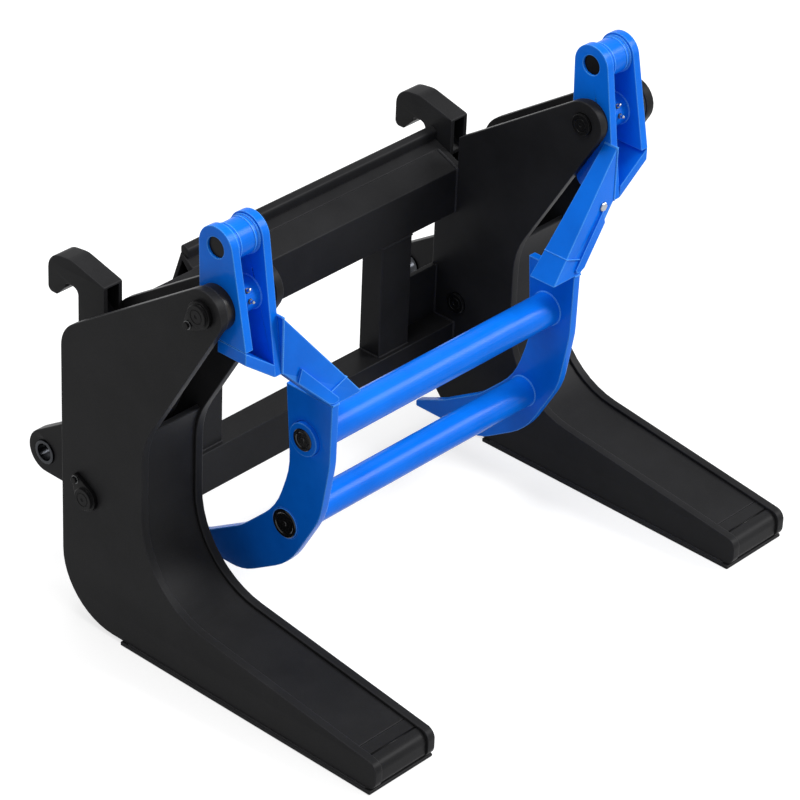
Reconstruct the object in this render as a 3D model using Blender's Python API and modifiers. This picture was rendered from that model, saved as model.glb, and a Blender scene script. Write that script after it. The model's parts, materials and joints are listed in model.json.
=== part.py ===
"""Log grapple for a loader: a two-arm welded frame with tines and coupler hooks,
a hinged clamp with two cross tubes, and two hydraulic cylinders.

Origin at the middle of the base, tines towards -Y, +Z up, metres.
Section outlines are written as (forward, height): forward is measured
from the frame's back plane towards the tine tips.
"""
import math

import bmesh
import bpy
from mathutils import Matrix, Vector

# Overall sizes
FRAME_WIDTH = 1.310         # outer face to outer face of the arms
ARM_WIDTH = 0.175           # outer face to inner face of one arm
TINE_REACH = 0.905          # back plane to tine tip
PIVOT_FORWARD = 0.404
PIVOT_HEIGHT = 0.903
GAP = 0.0003                # clearance between pieces that touch

# Plates of the arms
PLATE_THICK = 0.020
SOLE_THICK = 0.009
SOLE_OVERHANG = 0.005
SOLE_START = 0.179
LUG_RADIUS = 0.052
THROAT_FORWARD = 0.237
THROAT_TOP = 0.520
THROAT_RADIUS = 0.270
THROAT_TOP_RADIUS = 0.180
TINE_ROOT_HEIGHT = 0.162
TINE_TIP_HEIGHT = 0.074
TIP_RADIUS = 0.024
BACK_TOP_HEIGHT = 0.695
BACK_TOP_RADIUS = 0.075
BACK_FOOT_RADIUS = 0.150
WRAP_THICK = 0.012
WRAP_RECESS = 0.006
WRAP_TOP = 0.546
NOSE_START = 0.838
BACK_WALL_THICK = 0.012
BACK_WALL_LOW = 0.200
BACK_WALL_BELOW_HOOK = 0.015

# Pivot and pins
PIN_RADIUS = 0.025
PIN_PROUD = 0.004
BOSS_RADIUS = 0.049
BASE_PIN_FORWARD = 0.078
BASE_PIN_HEIGHT = 0.322
BASE_PIN_CLEAR = 0.0006     # from the barrel's side to the inner base pin
BASE_PIN_SHORT = 0.020      # from the barrel's side to the outer base pin
KEEPER_THICK = 0.010
KEEPER_RADIUS = 0.030
KEEPER_TIP_RADIUS = 0.012
KEEPER_REACH = 0.044
KEEPER_BOLT_RADIUS = 0.008
KEEPER_BOLT_HEAD = 0.007
PIN_END_PROUD = 0.003
PIVOT_KEEPER_RUN = (-0.28, -0.32)   # direction of the keeper from its pin
BASE_KEEPER_RUN = (-0.32, 0.42)

# Coupler hooks and lower ears
HOOK_WIDTH = 0.0517
HOOK_PLATE = 0.010
HOOK_FOOT = 0.545
HOOK_TOP = 0.7795
HOOK_CROWN = 0.080          # highest point, behind the back plane
HOOK_FRONT = 0.020
HOOK_FRONT_HIGH = 0.754
HOOK_REAR = 0.148
HOOK_REAR_HIGH = 0.770
HOOK_BEAK_FOOT = 0.680
HOOK_BEAK_INNER = 0.122
HOOK_LIP = 0.097
HOOK_LIP_HIGH = 0.706
HOOK_THROAT_TOP = 0.719
HOOK_THROAT_REAR = 0.094
HOOK_SHANK_REAR = 0.058
HOOK_CORNER_RADIUS = 0.006
HOOK_CROWN_RADIUS = 0.050
HOOK_NOSE_RADIUS = 0.022
HOOK_THROAT_RADIUS = 0.016
HOOK_RIB_THICK = 0.008
EAR_SIDE = 0.074
EAR_THICK = 0.030
EAR_REACH = 0.131
EAR_HEIGHT = 0.302
EAR_RADIUS = 0.050
EAR_ROOT_HIGH = 0.450
BUSH_RADIUS = 0.027
BUSH_BORE = 0.020
BUSH_PROUD = 0.004

# Members between the arms; sizes across start at an arm's inner face
BEAM_DEPTH = 0.060
BEAM_LOW = 0.547
BEAM_FRONT_HIGH = 0.657
BEAM_SLOPE = 0.423          # rise of the sloped top towards the back
BEAM_WALL = 0.010
SHELF_REAR = 0.045          # rear member, behind the back plane
SHELF_LOW = 0.600
SHELF_END = 0.210           # its free end
SHELF_END_SLANT = 0.045
RAIL_HEIGHT = 0.022
RAIL_ROUND = 0.009
SILL_LOW = 0.165
SILL_HIGH = 0.268
SILL_DEPTH = 0.072
POST_START = 0.140
POST_WIDTH = 0.095
POST_WALL = 0.008
WEB_HIGH = 0.395
WEB_THICK = 0.012

# Clamp
OUTER_BOSS_LENGTH = 0.024
INNER_BOSS_LENGTH = 0.007
CHEEK_THICK = 0.020
OUTER_CHEEK_LOW = 0.828
INNER_CHEEK_LOW = 0.738
CHEEK_REAR = 0.050
CHEEK_FRONT = 0.078
HEAD_OFFSET = 0.009         # head pin behind the pivot
HEAD_RISE = 0.127           # head pin above the pivot
HEAD_RADIUS = 0.046
HEAD_PIN_RADIUS = 0.0225
HEAD_PIN_SHORT = 0.005
SLEEVE_RADIUS = 0.036
CLEVIS_WEB_DEPTH = 0.028      # height of the web's section under the outer cheek
CLEVIS_WEB_DROP = 0.062       # fall of the web from the outer to the inner cheek
ARM_TOP_DEPTH = 0.036       # front to back under the inner cheek
ARM_TOP_HIGH = 0.866
ARM_FOOT_REAR = 0.436
ARM_FOOT_FRONT = 0.505
ARM_FOOT_HEIGHT = 0.617
CURVED_INBOARD = 0.097      # curved plate, from the arm's inner face
CURVED_THICK = 0.020
ARM_FOOT_WIDTH = 0.087
UPPER_TUBE_FORWARD = 0.435
UPPER_TUBE_HEIGHT = 0.510
UPPER_TUBE_RADIUS = 0.038
UPPER_TUBE_WALL = 0.0155
UPPER_TUBE_PROUD = 0.010
LOWER_TUBE_FORWARD = 0.383
LOWER_TUBE_HEIGHT = 0.277
LOWER_TUBE_RADIUS = 0.035
LOWER_TUBE_WALL = 0.005
LOWER_TUBE_PROUD = 0.002
CAP_THICK = 0.008
NIPPLE_RADIUS = 0.005
NIPPLE_LENGTH = 0.010
NIPPLE_ANGLES = (42.0, 8.0)

# Hydraulic cylinders
BARREL_RADIUS = 0.038
BARREL_LENGTH = 0.490
GLAND_RADIUS = 0.042
GLAND_LENGTH = 0.036
ROD_RADIUS = 0.018
ROD_LENGTH = 0.316
ROD_CLEARANCE = 0.0005
BORE_FLOOR = 0.270
EYE_RADIUS = 0.040
EYE_WIDTH = 0.060
EYE_BORE = 0.0228
ROD_EYE_RADIUS = 0.039
FLANGE_RADIUS = 0.042
FLANGE_THICK = 0.004

ROUND_STEPS = 40
FILLET_STEPS = 12
LONG_ARC_STEPS = 18
SHORT_ARC_STEPS = 8
TURN_STEPS = 32
NIPPLE_STEPS = 12
BOLT_SIDES = 6
SHARP_ANGLE = 32.0          # degrees
MERGE = 0.00003
HALF = 0.5
DOUBLE = 2.0

half_width = FRAME_WIDTH * HALF
ear_back = EAR_REACH + EAR_RADIUS
y_back = (TINE_REACH - ear_back) * HALF     # world Y of the frame's back plane
# Depths below are measured from an arm's outer face towards the middle.
cheek_outer = PLATE_THICK + OUTER_BOSS_LENGTH
clevis_width = ARM_WIDTH - PLATE_THICK - INNER_BOSS_LENGTH - cheek_outer
curved_side = ARM_WIDTH + CURVED_INBOARD
cylinder_side = cheek_outer + clevis_width * HALF

# Outline of a curved plate as (forward, height, corner radius), each a share
# of the lower edge of the box arm's foot.
CURVED_SHARES = (
    (0.818, 1.000, 0.002), (0.815, 0.762, 0.300), (0.778, 0.535, 0.300), (0.640, 0.292, 0.300),
    (0.425, 0.158, 0.200), (0.118, 0.158, 0.006), (0.118, 0.182, 0.006), (0.243, 0.237, 0.200),
    (0.413, 0.340, 0.200), (0.575, 0.494, 0.300), (0.635, 0.681, 0.300), (0.609, 1.000, 0.002),
)


def remove_everything():
    for ob in list(bpy.data.objects):
        bpy.data.objects.remove(ob, do_unlink=True)


def make_material(name, rgb, roughness, metallic):
    mat = bpy.data.materials.new(name)
    mat.use_nodes = True
    shader = mat.node_tree.nodes["Principled BSDF"]
    shader.inputs["Base Color"].default_value = (*rgb, 1.0)
    shader.inputs["Roughness"].default_value = roughness
    shader.inputs["Metallic"].default_value = metallic
    mat.diffuse_color = (*rgb, 1.0)
    return mat


def rounded(corners, steps=SHORT_ARC_STEPS):
    """Closed outline through corner points, each rounded by its own radius."""
    out = []
    count = len(corners)
    for i, (f, h, radius) in enumerate(corners):
        here = Vector((f, h))
        before = Vector(corners[i - 1][:2])
        after = Vector(corners[(i + 1) % count][:2])
        into = (before - here).normalized()
        away = (after - here).normalized()
        turn = math.pi - into.angle(away)
        reach = radius * math.tan(turn * HALF)
        if radius <= 0 or turn < math.radians(1):
            out.append(here)
            continue
        reach = min(reach, (before - here).length * HALF, (after - here).length * HALF)
        radius = reach / math.tan(turn * HALF)
        first, last = here + into * reach, here + away * reach
        centre = here + (into + away).normalized() * (radius / math.cos(turn * HALF))
        start = math.atan2(first.y - centre.y, first.x - centre.x)
        end = math.atan2(last.y - centre.y, last.x - centre.x)
        sweep = (end - start + math.pi) % math.tau - math.pi
        parts = max(2, round(steps * turn / (math.pi * HALF)))
        for k in range(parts + 1):
            a = start + sweep * k / parts
            out.append(centre + Vector((math.cos(a), math.sin(a))) * radius)
    return out


def circle(forward, height, radius, steps=ROUND_STEPS):
    return [Vector((forward + radius * math.cos(math.tau * k / steps),
                    height + radius * math.sin(math.tau * k / steps))) for k in range(steps)]


def tangent(point, centre, radius, side):
    """Point where a line from a point touches a circle; side is 1 or -1."""
    span = Vector(centre) - Vector(point)
    lean = math.asin(radius / span.length) * side
    run = math.sqrt(span.length_squared - radius * radius)
    return Vector(point) + Matrix.Rotation(lean, 2) @ span.normalized() * run


def arc_between(centre, first, last, clockwise, steps=FILLET_STEPS):
    c = Vector(centre)
    a, b = Vector(first) - c, Vector(last) - c
    start, end = math.atan2(a.y, a.x), math.atan2(b.y, b.x)
    sweep = (end - start) % math.tau
    if clockwise:
        sweep -= math.tau
    return [c + Vector((math.cos(start + sweep * k / steps), math.sin(start + sweep * k / steps)))
            * a.length for k in range(steps + 1)]


def collect(ob, mat, home):
    ob.data.materials.clear()
    ob.data.materials.append(mat)
    for other in list(ob.users_collection):
        other.objects.unlink(ob)
    home.objects.link(ob)
    return ob


def curve_solid(name, loops, thickness, matrix, mat, home):
    """Flat outline with holes, given a thickness; returns a mesh object."""
    data = bpy.data.curves.new(name, "CURVE")
    data.dimensions = "2D"
    data.fill_mode = "BOTH"
    data.extrude = thickness * HALF
    for loop in loops:
        spline = data.splines.new("POLY")
        spline.points.add(len(loop) - 1)
        for point, at in zip(spline.points, loop):
            point.co = (at[0], at[1], 0.0, 1.0)
        spline.use_cyclic_u = True
    guide = bpy.data.objects.new(name + "_outline", data)
    bpy.context.scene.collection.objects.link(guide)
    bpy.context.view_layer.update()
    graph = bpy.context.evaluated_depsgraph_get()
    mesh = bpy.data.meshes.new_from_object(guide.evaluated_get(graph))
    bpy.data.objects.remove(guide, do_unlink=True)
    work = bmesh.new()
    work.from_mesh(mesh)
    bmesh.ops.remove_doubles(work, verts=work.verts, dist=MERGE)
    bmesh.ops.recalc_face_normals(work, faces=work.faces)
    work.to_mesh(mesh)
    work.free()
    mesh.name = name
    ob = bpy.data.objects.new(name, mesh)
    ob.matrix_world = matrix
    return collect(ob, mat, home)


def side_matrix(x, origin=(0.0, 0.0)):
    """Local X runs forward, local Y up, local Z across; origin is (forward, height)."""
    spin = Matrix(((0, 0, -1), (-1, 0, 0), (0, 1, 0))).to_4x4()
    return Matrix.Translation((x, y_back - origin[0], origin[1])) @ spin


def across(name, loops, x_low, x_high, mat, home, origin=(0.0, 0.0)):
    """Section in the forward-height plane, run from x_low to x_high."""
    low, high = min(x_low, x_high), max(x_low, x_high)
    local = [[Vector(p) - Vector(origin) for p in loop] for loop in loops]
    return curve_solid(name, local, high - low, side_matrix((low + high) * HALF, origin), mat, home)


def box(name, low, high, mat, home):
    """Box between two corners given as (x, forward, height)."""
    work = bmesh.new()
    bmesh.ops.create_cube(work, size=1.0)
    size = [abs(b - a) for a, b in zip(low, high)]
    bmesh.ops.scale(work, vec=size, verts=work.verts)
    mesh = bpy.data.meshes.new(name)
    work.to_mesh(mesh)
    work.free()
    ob = bpy.data.objects.new(name, mesh)
    ob.location = ((low[0] + high[0]) * HALF, y_back - (low[1] + high[1]) * HALF,
                   (low[2] + high[2]) * HALF)
    return collect(ob, mat, home)


def cut(ob, cutter, cutters, operation="DIFFERENCE"):
    """Apply one exact Boolean and keep the cutter out of the model."""
    bpy.context.view_layer.update()
    step = ob.modifiers.new(operation.title(), "BOOLEAN")
    step.operation = operation
    step.solver = "EXACT"
    step.object = cutter
    graph = bpy.context.evaluated_depsgraph_get()
    mesh = bpy.data.meshes.new_from_object(ob.evaluated_get(graph))
    ob.modifiers.clear()
    ob.data = mesh
    cutter.hide_render = True
    cutter.display_type = "WIRE"
    for other in list(cutter.users_collection):
        other.objects.unlink(cutter)
    cutters.objects.link(cutter)
    return ob


def arm_outline():
    """Side plate of an arm: back, tine, throat and pivot lug."""
    lug = (PIVOT_FORWARD, PIVOT_HEIGHT)
    low_touch = tangent((THROAT_FORWARD, THROAT_TOP), lug, LUG_RADIUS, -1)
    high_touch = tangent((0.0, BACK_TOP_HEIGHT), lug, LUG_RADIUS, 1)
    body = rounded([
        (high_touch.x, high_touch.y, 0.0),
        (0.0, BACK_TOP_HEIGHT, BACK_TOP_RADIUS),
        (0.0, SOLE_THICK + GAP, BACK_FOOT_RADIUS),
        (TINE_REACH, SOLE_THICK + GAP, TIP_RADIUS),
        (TINE_REACH, TINE_TIP_HEIGHT, TIP_RADIUS),
        (THROAT_FORWARD, TINE_ROOT_HEIGHT, THROAT_RADIUS),
        (THROAT_FORWARD, THROAT_TOP, THROAT_TOP_RADIUS),
        (low_touch.x, low_touch.y, 0.0),
    ], FILLET_STEPS)
    return body + arc_between(lug, low_touch, high_touch, False)[1:-1]


def throat_line():
    """Inner edge of an arm from the tine's tip up to the lug, as plain points."""
    lug = (PIVOT_FORWARD, PIVOT_HEIGHT)
    low_touch = tangent((THROAT_FORWARD, THROAT_TOP), lug, LUG_RADIUS, -1)
    return rounded([
        (TINE_REACH, SOLE_THICK, 0.0),
        (TINE_REACH, TINE_TIP_HEIGHT, TIP_RADIUS),
        (THROAT_FORWARD, TINE_ROOT_HEIGHT, THROAT_RADIUS),
        (THROAT_FORWARD, THROAT_TOP, THROAT_TOP_RADIUS),
        (low_touch.x, low_touch.y, 0.0),
    ], FILLET_STEPS)


def inset(points, distance):
    """Shift an open line to its left-hand side."""
    out = []
    for i, here in enumerate(points):
        before = points[max(0, i - 1)]
        after = points[min(len(points) - 1, i + 1)]
        run = (after - before).normalized()
        out.append(here + Vector((-run.y, run.x)) * distance)
    return out


def clip_line(points, start_forward, end_height):
    """Part of the throat line between the nose seam and the wrap plate's top edge."""
    out = []
    for a, b in zip(points, points[1:]):
        if a.x > start_forward >= b.x and not out:
            t = (a.x - start_forward) / (a.x - b.x)
            out.append(a.lerp(b, t))
        if out:
            if b.y > a.y and b.y > end_height and b.x < start_forward * HALF:
                t = (end_height - a.y) / (b.y - a.y)
                out.append(a.lerp(b, t))
                return out
            out.append(b)
    return out


def teardrop(centre, toward):
    """Keeper plate outline round a pin, drawn out to its bolt."""
    c = Vector(centre)
    d = Vector(toward).normalized()
    tip = c + d * KEEPER_REACH
    lean = math.acos((KEEPER_RADIUS - KEEPER_TIP_RADIUS) / KEEPER_REACH)
    base = math.atan2(d.y, d.x)
    out = []
    for k in range(LONG_ARC_STEPS + 1):
        a = base + lean + (math.tau - DOUBLE * lean) * k / LONG_ARC_STEPS
        out.append(c + Vector((math.cos(a), math.sin(a))) * KEEPER_RADIUS)
    for k in range(SHORT_ARC_STEPS + 1):
        a = base - lean + DOUBLE * lean * k / SHORT_ARC_STEPS
        out.append(tip + Vector((math.cos(a), math.sin(a))) * KEEPER_TIP_RADIUS)
    return out, tip


def x_at(side, depth):
    """World X of a plane that lies depth inboard of the arm's outer face."""
    return side * (half_width - depth)


def build_arm(side, label, home, cutters, mats):
    """One tine arm of the frame with its hook, ear and pins."""
    black = mats["frame"]
    outline = arm_outline()
    pivot = (PIVOT_FORWARD, PIVOT_HEIGHT)
    base = (BASE_PIN_FORWARD, BASE_PIN_HEIGHT)
    holes = [circle(*pivot, PIN_RADIUS + GAP), circle(*base, PIN_RADIUS + GAP)]
    inner_out = ARM_WIDTH - PLATE_THICK
    across(label + "_outer_plate", [outline] + holes, x_at(side, 0.0), x_at(side, PLATE_THICK), black, home)
    inner = across(label + "_inner_plate", [outline] + holes, x_at(side, inner_out),
                   x_at(side, ARM_WIDTH), black, home)
    if side > 0:
        notch = box("beam_notch", (x_at(side, inner_out - PLATE_THICK), -BEAM_DEPTH, BEAM_LOW - GAP),
                    (x_at(side, ARM_WIDTH + PLATE_THICK), BEAM_DEPTH + GAP, PIVOT_HEIGHT), black, home)
        cut(inner, notch, cutters)
    between = (x_at(side, PLATE_THICK + GAP), x_at(side, inner_out - GAP))
    line = clip_line(throat_line(), NOSE_START - GAP, WRAP_TOP)
    wrap = inset(line, WRAP_RECESS) + list(reversed(inset(line, WRAP_RECESS + WRAP_THICK)))
    across(label + "_wrap_plate", [wrap], *between, black, home)
    slope = (TINE_ROOT_HEIGHT - TINE_TIP_HEIGHT) / (TINE_REACH - THROAT_FORWARD)
    seam_high = TINE_TIP_HEIGHT + (TINE_REACH - NOSE_START) * slope - WRAP_RECESS
    tip, tip_high = TINE_REACH - WRAP_RECESS, TINE_TIP_HEIGHT - WRAP_RECESS
    nose = rounded([
        (NOSE_START, SOLE_THICK + GAP, 0.0), (tip, SOLE_THICK + GAP, TIP_RADIUS - WRAP_RECESS),
        (tip, tip_high, TIP_RADIUS), (NOSE_START, seam_high, 0.0)], FILLET_STEPS)
    across(label + "_tine_nose", [nose], *between, black, home)
    sole = rounded([
        (SOLE_START, 0.0, 0.0), (TINE_REACH - SOLE_THICK, 0.0, SOLE_THICK * HALF),
        (TINE_REACH - SOLE_THICK, SOLE_THICK, SOLE_THICK * HALF), (SOLE_START, SOLE_THICK, 0.0)])
    across(label + "_sole_plate", [sole], x_at(side, -SOLE_OVERHANG),
           x_at(side, ARM_WIDTH + SOLE_OVERHANG), black, home)
    build_hook(side, label, home, cutters, black)
    build_ear(side, label, home, cutters, mats)
    for word, near, far in (("outer", PLATE_THICK, cheek_outer),
                            ("inner", cheek_outer + clevis_width, inner_out)):
        across(f"{label}_{word}_boss", [circle(*pivot, BOSS_RADIUS), circle(*pivot, PIN_RADIUS + GAP)],
               x_at(side, near + GAP), x_at(side, far - GAP), mats["boss"], home)
    build_keeper_pin(label + "_pivot_pin", side, pivot, PIVOT_KEEPER_RUN, ARM_WIDTH + PIN_PROUD,
                     home, cutters, mats["pin"])
    build_keeper_pin(label + "_outer_base_pin", side, base, BASE_KEEPER_RUN,
                     cylinder_side - BARREL_RADIUS - BASE_PIN_SHORT, home, cutters, mats["pin"])
    across(label + "_inner_base_pin", [circle(*base, PIN_RADIUS)],
           x_at(side, cylinder_side + BARREL_RADIUS + BASE_PIN_CLEAR), x_at(side, ARM_WIDTH + PIN_PROUD),
           mats["pin"], home)


def hook_outline():
    """Rearward hook: shank, crown and beak."""
    return rounded([
        (HOOK_FRONT, HOOK_FOOT, 0.0),
        (HOOK_FRONT, HOOK_FRONT_HIGH, HOOK_CORNER_RADIUS),
        (-HOOK_CROWN, HOOK_TOP, HOOK_CROWN_RADIUS),
        (-HOOK_REAR, HOOK_REAR_HIGH, HOOK_CROWN_RADIUS),
        (-HOOK_REAR, HOOK_BEAK_FOOT, HOOK_NOSE_RADIUS),
        (-HOOK_BEAK_INNER, HOOK_BEAK_FOOT, HOOK_CORNER_RADIUS),
        (-HOOK_LIP, HOOK_LIP_HIGH, HOOK_CORNER_RADIUS * HALF),
        (-HOOK_THROAT_REAR, HOOK_THROAT_TOP, HOOK_THROAT_RADIUS * HALF),
        (-HOOK_SHANK_REAR, HOOK_THROAT_TOP, HOOK_THROAT_RADIUS),
        (-HOOK_SHANK_REAR, HOOK_FOOT, 0.0),
    ])


def build_hook(side, label, home, cutters, mat):
    """Hollow coupler hook: two side plates, a cover and a slanted rib, open in front."""
    outline = hook_outline()
    high = ARM_WIDTH - PLATE_THICK - GAP
    low = high - HOOK_WIDTH
    body = across(label + "_hook", [outline], x_at(side, low), x_at(side, high), mat, home)
    wall = HOOK_PLATE
    hollow = rounded([
        (HOOK_FRONT * DOUBLE, HOOK_FOOT - wall, 0.0),
        (HOOK_FRONT * DOUBLE, HOOK_FRONT_HIGH - wall, 0.0),
        (-HOOK_CROWN, HOOK_TOP - wall, 0.0),
        (-HOOK_SHANK_REAR + wall, HOOK_THROAT_TOP + wall, 0.0),
        (-HOOK_SHANK_REAR + wall, HOOK_FOOT - wall, 0.0),
    ])
    space = across("hook_hollow", [hollow], x_at(side, low + wall), x_at(side, high - wall), mat, home)
    cut(body, space, cutters)
    rib_foot, rib_head = HOOK_FOOT + (HOOK_TOP - HOOK_FOOT) * HALF, HOOK_FRONT_HIGH - wall
    rear = -HOOK_SHANK_REAR + wall * HALF
    front = HOOK_FRONT - wall * HALF
    rib = [Vector((front, rib_foot)), Vector((front, rib_foot + HOOK_RIB_THICK)),
           Vector((rear, rib_head - HOOK_RIB_THICK)), Vector((rear, rib_head - DOUBLE * HOOK_RIB_THICK))]
    strip = across("hook_rib", [rib], x_at(side, low + wall * HALF), x_at(side, high - wall * HALF),
                   mat, home)
    cut(body, strip, cutters, "UNION")


def build_ear(side, label, home, cutters, mats):
    """Back wall of an arm with the lower coupler ear on it, and the ear's bush."""
    centre = (-EAR_REACH, EAR_HEIGHT)
    root = BACK_WALL_THICK * HALF
    touch = tangent((root, EAR_ROOT_HIGH), centre, EAR_RADIUS, -1)
    foot = Vector((-EAR_REACH, EAR_HEIGHT - EAR_RADIUS))
    arc = arc_between(centre, touch, foot, False, LONG_ARC_STEPS)
    loop = [Vector((root, EAR_ROOT_HIGH))] + arc + [Vector((root, EAR_HEIGHT - EAR_RADIUS))]
    wall = box(label + "_ear", (x_at(side, PLATE_THICK + GAP), 0.0, BACK_WALL_LOW),
               (x_at(side, ARM_WIDTH - PLATE_THICK - GAP), BACK_WALL_THICK, HOOK_FOOT - BACK_WALL_BELOW_HOOK),
               mats["frame"], home)
    ear = across("ear_plate", [loop, circle(*centre, BUSH_RADIUS + GAP)], x_at(side, EAR_SIDE),
                 x_at(side, EAR_SIDE + EAR_THICK), mats["frame"], home)
    cut(wall, ear, cutters, "UNION")
    across(label + "_ear_bush", [circle(*centre, BUSH_RADIUS), circle(*centre, BUSH_BORE)],
           x_at(side, EAR_SIDE - BUSH_PROUD), x_at(side, EAR_SIDE + EAR_THICK + BUSH_PROUD),
           mats["bush"], home)


def build_keeper_pin(name, side, centre, run, depth, home, cutters, mat):
    """Pin with its keeper plate and bolt on the arm's outer face."""
    loop, tip = teardrop(centre, run)
    top = -GAP - KEEPER_THICK
    body = across(name, [circle(*centre, PIN_RADIUS)], x_at(side, top - PIN_END_PROUD), x_at(side, depth),
                  mat, home)
    plate = across("keeper_plate", [loop], x_at(side, -GAP), x_at(side, top), mat, home)
    bolt = across("keeper_bolt", [circle(*tip, KEEPER_BOLT_RADIUS, BOLT_SIDES)], x_at(side, top * HALF),
                  x_at(side, top - KEEPER_BOLT_HEAD), mat, home)
    cut(body, plate, cutters, "UNION")
    cut(body, bolt, cutters, "UNION")


def build_cross_members(home, cutters, mats):
    """Beams, rail, posts and webs between the two arms."""
    black = mats["frame"]
    left = x_at(-1, ARM_WIDTH + GAP)
    right = x_at(1, ARM_WIDTH - PLATE_THICK + GAP)
    back_high = BEAM_FRONT_HIGH + BEAM_DEPTH * BEAM_SLOPE
    beam = [Vector(p) for p in ((0.0, BEAM_LOW), (BEAM_DEPTH, BEAM_LOW),
                                (BEAM_DEPTH, BEAM_FRONT_HIGH), (0.0, back_high))]
    wall = BEAM_WALL
    bore = [Vector(p) for p in ((wall, BEAM_LOW + wall), (BEAM_DEPTH - wall, BEAM_LOW + wall),
                                (BEAM_DEPTH - wall, BEAM_FRONT_HIGH - wall + wall * BEAM_SLOPE),
                                (wall, back_high - wall - wall * BEAM_SLOPE))]
    across("upper_beam", [beam, bore], left, right, black, home)
    rear_high = back_high + SHELF_REAR * BEAM_SLOPE
    shelf = [Vector(p) for p in ((-GAP, SHELF_LOW), (-GAP, back_high), (-SHELF_REAR, rear_high),
                                 (-SHELF_REAR, SHELF_LOW))]
    shelf_bore = [Vector(p) for p in ((-wall, SHELF_LOW + wall), (-wall, back_high - wall),
                                      (wall - SHELF_REAR, rear_high - wall - wall * BEAM_SLOPE),
                                      (wall - SHELF_REAR, SHELF_LOW + wall))]
    shelf_left = x_at(-1, ARM_WIDTH + SHELF_END)
    body = across("rear_beam", [shelf, shelf_bore], shelf_left - SHELF_END_SLANT, right, black, home)
    slant = [Vector((shelf_left - DOUBLE * SHELF_END_SLANT, SHELF_LOW)),
             Vector((shelf_left - SHELF_END_SLANT, SHELF_LOW)),
             Vector((shelf_left, rear_high)), Vector((shelf_left, rear_high + SHELF_REAR)),
             Vector((shelf_left - DOUBLE * SHELF_END_SLANT, rear_high + SHELF_REAR))]
    spin = Matrix(((1, 0, 0), (0, 0, -1), (0, 1, 0))).to_4x4()
    wedge = curve_solid("slant_cutter", [slant], SHELF_REAR * DOUBLE,
                        Matrix.Translation((0, y_back + SHELF_REAR * HALF, 0)) @ spin, black, home)
    cut(body, wedge, cutters)
    rail_front_high = rear_high - SHELF_REAR * HALF * BEAM_SLOPE + GAP
    rail = rounded([
        (-SHELF_REAR, rear_high + GAP, 0.0), (-SHELF_REAR * HALF, rail_front_high, 0.0),
        (-SHELF_REAR * HALF, rail_front_high + RAIL_HEIGHT, RAIL_ROUND),
        (-SHELF_REAR, rear_high + RAIL_HEIGHT, RAIL_ROUND)])
    across("rear_rail", [rail], shelf_left, right, black, home)
    sill = [Vector(p) for p in ((0.0, SILL_LOW), (SILL_DEPTH, SILL_LOW), (SILL_DEPTH, SILL_HIGH),
                                (0.0, SILL_HIGH))]
    sill_bore = [Vector(p) for p in ((wall, SILL_LOW + wall), (SILL_DEPTH - wall, SILL_LOW + wall),
                                     (SILL_DEPTH - wall, SILL_HIGH - wall), (wall, SILL_HIGH - wall))]
    across("lower_beam", [sill, sill_bore], left, -left, black, home)
    for side, label in ((-1, "left"), (1, "right")):
        post_outer = ARM_WIDTH + POST_START
        low, high = sorted((x_at(side, post_outer), x_at(side, post_outer + POST_WIDTH)))
        loops = []
        for wall_in in (0.0, POST_WALL):
            loops.append([Vector((low + wall_in, wall_in)), Vector((high - wall_in, wall_in)),
                          Vector((high - wall_in, BEAM_DEPTH - wall_in)),
                          Vector((low + wall_in, BEAM_DEPTH - wall_in))])
        flip = Matrix(((1, 0, 0), (0, -1, 0), (0, 0, -1))).to_4x4()
        middle = (SILL_HIGH + BEAM_LOW) * HALF
        curve_solid(label + "_post", loops, BEAM_LOW - SILL_HIGH - DOUBLE * GAP,
                    Matrix.Translation((0, y_back, middle)) @ flip, black, home)
        box(label + "_rear_web", (x_at(side, ARM_WIDTH + GAP), 0.0, SILL_HIGH + GAP),
            (x_at(side, post_outer - GAP), WEB_THICK, WEB_HIGH), black, home)


def cheek_outline(low, foot_rear):
    """Cheek of a clevis round the pivot and the head pin."""
    head = (PIVOT_FORWARD - HEAD_OFFSET, PIVOT_HEIGHT + HEAD_RISE)
    front_foot = (PIVOT_FORWARD + CHEEK_FRONT, low)
    rear_foot = (PIVOT_FORWARD - CHEEK_REAR, PIVOT_HEIGHT - CHEEK_REAR * HALF)
    front = tangent(front_foot, head, HEAD_RADIUS, -1)
    rear = tangent(rear_foot, head, HEAD_RADIUS, 1)
    arc = arc_between(head, front, rear, False, LONG_ARC_STEPS)
    foot = rounded([(rear.x, rear.y, 0.0), (*rear_foot, HEAD_RADIUS * HALF),
                    (foot_rear, low, HEAD_RADIUS * HALF), (*front_foot, 0.0)])
    return arc + foot[1:]


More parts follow.
